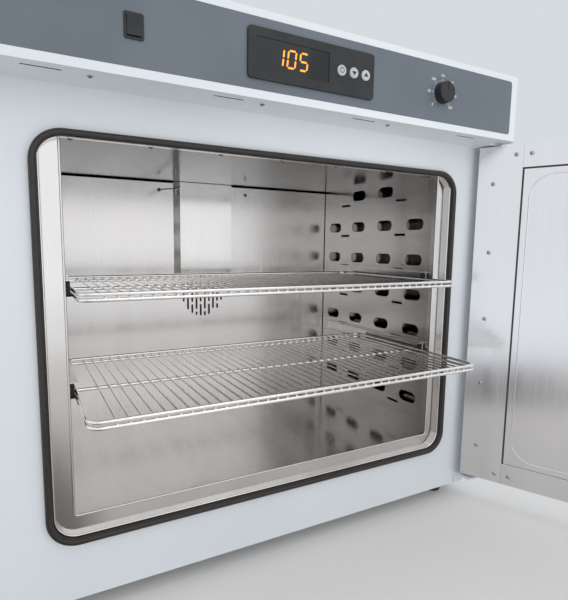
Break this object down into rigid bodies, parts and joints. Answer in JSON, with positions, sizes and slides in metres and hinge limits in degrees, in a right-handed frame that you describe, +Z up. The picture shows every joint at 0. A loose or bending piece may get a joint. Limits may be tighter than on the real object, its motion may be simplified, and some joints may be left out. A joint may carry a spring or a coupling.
{
  "type": "laboratory oven",
  "caption": "Free-standing laboratory forced-convection oven with a wide side-hinged door, a stainless chamber with perforated air panels, wire shelves and a fan behind the back wall.",
  "frame": {"origin": "on the floor under the centre of the cabinet's footprint, the housing's overhang and the door left out", "axes": "+X to the right of someone facing the oven, +Y into the oven, +Z up; the front faces -Y"},
  "size_m": [1.5816, 1.7482, 1],
  "materials": {
    "painted_steel": "fine-textured pale grey powder coat",
    "stainless_steel": "brushed, bright annealed",
    "plated_steel": "zinc-plated",
    "chromed_wire": "bright",
    "silicone_rubber": "matt, slightly shiny crown",
    "foot_rubber": "matt",
    "mineral_wool": "fibrous",
    "bronze": "sintered",
    "cast_aluminium": "cast",
    "dark_plastic": "fine grain",
    "key_plastic": "satin",
    "display_glass": "polished",
    "circuit_board": "laminate with parts"
  },
  "bodies": {
    "cabinet": {"base_pan": "painted_steel", "front_frame": "painted_steel", "left_side_panel": "painted_steel", "right_side_panel": "painted_steel", "rear_panel": "painted_steel", "housing_floor": "painted_steel", "control_housing": "painted_steel", "fascia_panel": "painted_steel", "hinge_bracket_top": "painted_steel", "hinge_bracket_bottom": "painted_steel", "inner_liner": "stainless_steel", "front_surround": "stainless_steel", "left_air_panel": "stainless_steel", "right_air_panel": "stainless_steel", "back_panel": "stainless_steel", "centre_cover": "stainless_steel", "rail_upper_left": "stainless_steel", "rail_upper_right": "stainless_steel", "rail_lower_left": "stainless_steel", "rail_lower_right": "stainless_steel", "exhaust_tube": "stainless_steel", "heating_element": "stainless_steel", "temperature_probe": "stainless_steel", "limit_probe": "stainless_steel", "rear_bulkhead": "plated_steel", "cabinet_screws": "plated_steel", "latch_keeper": "plated_steel", "door_gasket": "silicone_rubber", "levelling_feet": "foot_rubber", "rail_stops": "foot_rubber", "insulation": "mineral_wool", "shaft_bush": "bronze", "fan_motor": "cast_aluminium", "controller_module": "dark_plastic", "switch_frame": "dark_plastic", "mains_inlet": "dark_plastic", "limit_thermostat": "dark_plastic", "display_window": "display_glass", "control_board": "circuit_board"},
    "door": {"door_outer_shell": "painted_steel", "door_insulation": "mineral_wool", "door_strip_hinge_side": "stainless_steel", "door_strip_latch_side": "stainless_steel", "door_cross_strips": "stainless_steel", "door_inner_panel": "stainless_steel", "door_screws": "plated_steel", "hinge_bushes": "bronze", "handle_rose": "dark_plastic"},
    "handle": {"handle_lever": "dark_plastic", "latch_spindle": "plated_steel"},
    "upper_shelf": {"upper_shelf": "chromed_wire"},
    "lower_shelf": {"lower_shelf": "chromed_wire"},
    "fan": {"fan_shaft": "plated_steel", "fan_impeller": "stainless_steel"},
    "power_rocker": {"power_rocker": "dark_plastic"},
    "limit_dial": {"limit_dial": "dark_plastic"},
    "key_set": {"key_set": "key_plastic"},
    "key_down": {"key_down": "key_plastic"},
    "key_up": {"key_up": "key_plastic"},
    "damper": {"damper_flap": "stainless_steel"}
  },
  "joints": [
    {"name": "door_hinge", "type": "hinge", "parent": "cabinet", "child": "door", "pos_m": [0.52, -0.381, 0.465], "axis": [0, 0, 1], "range_deg": [-115.5, 9.5]},
    {"name": "handle_turn", "type": "hinge", "parent": "door", "child": "handle", "pos_m": [1.01461, -1.27628, 0.542], "axis": [0.9026, 0.4305, 0], "range_deg": [-90, 0]},
    {"name": "upper_shelf_slide", "type": "slide", "parent": "cabinet", "child": "upper_shelf", "axis": [0, -1, 0], "range_m": [-0.106, 0.009]},
    {"name": "lower_shelf_slide", "type": "slide", "parent": "cabinet", "child": "lower_shelf", "axis": [0, -1, 0], "range_m": [-0.1765, 0.015]},
    {"name": "fan_spin", "type": "hinge", "parent": "cabinet", "child": "fan", "pos_m": [-0.008, 0.14, 0.49], "axis": [0, 1, 0], "continuous": true},
    {"name": "power_rocker_tip", "type": "hinge", "parent": "cabinet", "child": "power_rocker", "pos_m": [-0.3, -0.429, 0.9331], "axis": [1, 0, 0], "range_deg": [-10, 0]},
    {"name": "limit_dial_turn", "type": "hinge", "parent": "cabinet", "child": "limit_dial", "pos_m": [0.3, -0.44, 0.9331], "axis": [0, -1, 0], "range_deg": [-135, 135]},
    {"name": "damper_turn", "type": "hinge", "parent": "cabinet", "child": "damper", "pos_m": [0.3, 0.375, 0.736], "axis": [0, 0, 1], "range_deg": [0, 90]},
    {"name": "key_set_press", "type": "slide", "parent": "cabinet", "child": "key_set", "axis": [0, 1, 0], "range_m": [0, 0.0015], "stiffness_N_per_m": 400},
    {"name": "key_down_press", "type": "slide", "parent": "cabinet", "child": "key_down", "axis": [0, 1, 0], "range_m": [0, 0.0015], "stiffness_N_per_m": 400},
    {"name": "key_up_press", "type": "slide", "parent": "cabinet", "child": "key_up", "axis": [0, 1, 0], "range_m": [0, 0.0015], "stiffness_N_per_m": 400}
  ],
  "couplings": [
    {"joint": "upper_shelf_slide", "follows": "door_hinge", "m_per_rad": 0.052582},
    {"joint": "lower_shelf_slide", "follows": "door_hinge", "m_per_rad": 0.087555}
  ]
}
